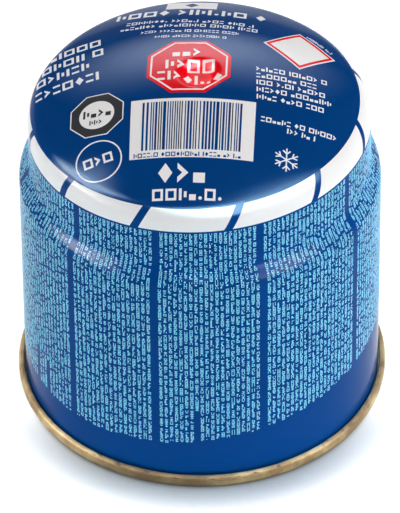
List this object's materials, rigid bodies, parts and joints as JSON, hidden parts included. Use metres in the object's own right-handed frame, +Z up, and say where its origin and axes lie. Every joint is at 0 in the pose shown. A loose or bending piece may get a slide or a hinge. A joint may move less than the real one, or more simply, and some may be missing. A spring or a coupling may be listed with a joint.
{
  "type": "fuel canister",
  "caption": "Sealed pierceable gas cartridge: a drawn steel can with a domed crown, banded shoulder and drawn-in neck, closed below by a seamed end with a domed-in panel.",
  "frame": {"origin": "centre of the ring that the seam stands on", "axes": "+Z up along the can's axis, -Y towards the viewer of the picture"},
  "size_m": [0.09, 0.09, 0.0924],
  "materials": {
    "printed_can": "gloss",
    "gold_end": "satin gold lacquer",
    "white_print": "gloss",
    "pale_blue_print": "gloss",
    "red_print": "gloss",
    "grey_print": "gloss"
  },
  "bodies": {
    "root": {"drawn_can": "printed_can", "seamed_end": "gold_end"}
  },
  "joints": []
}
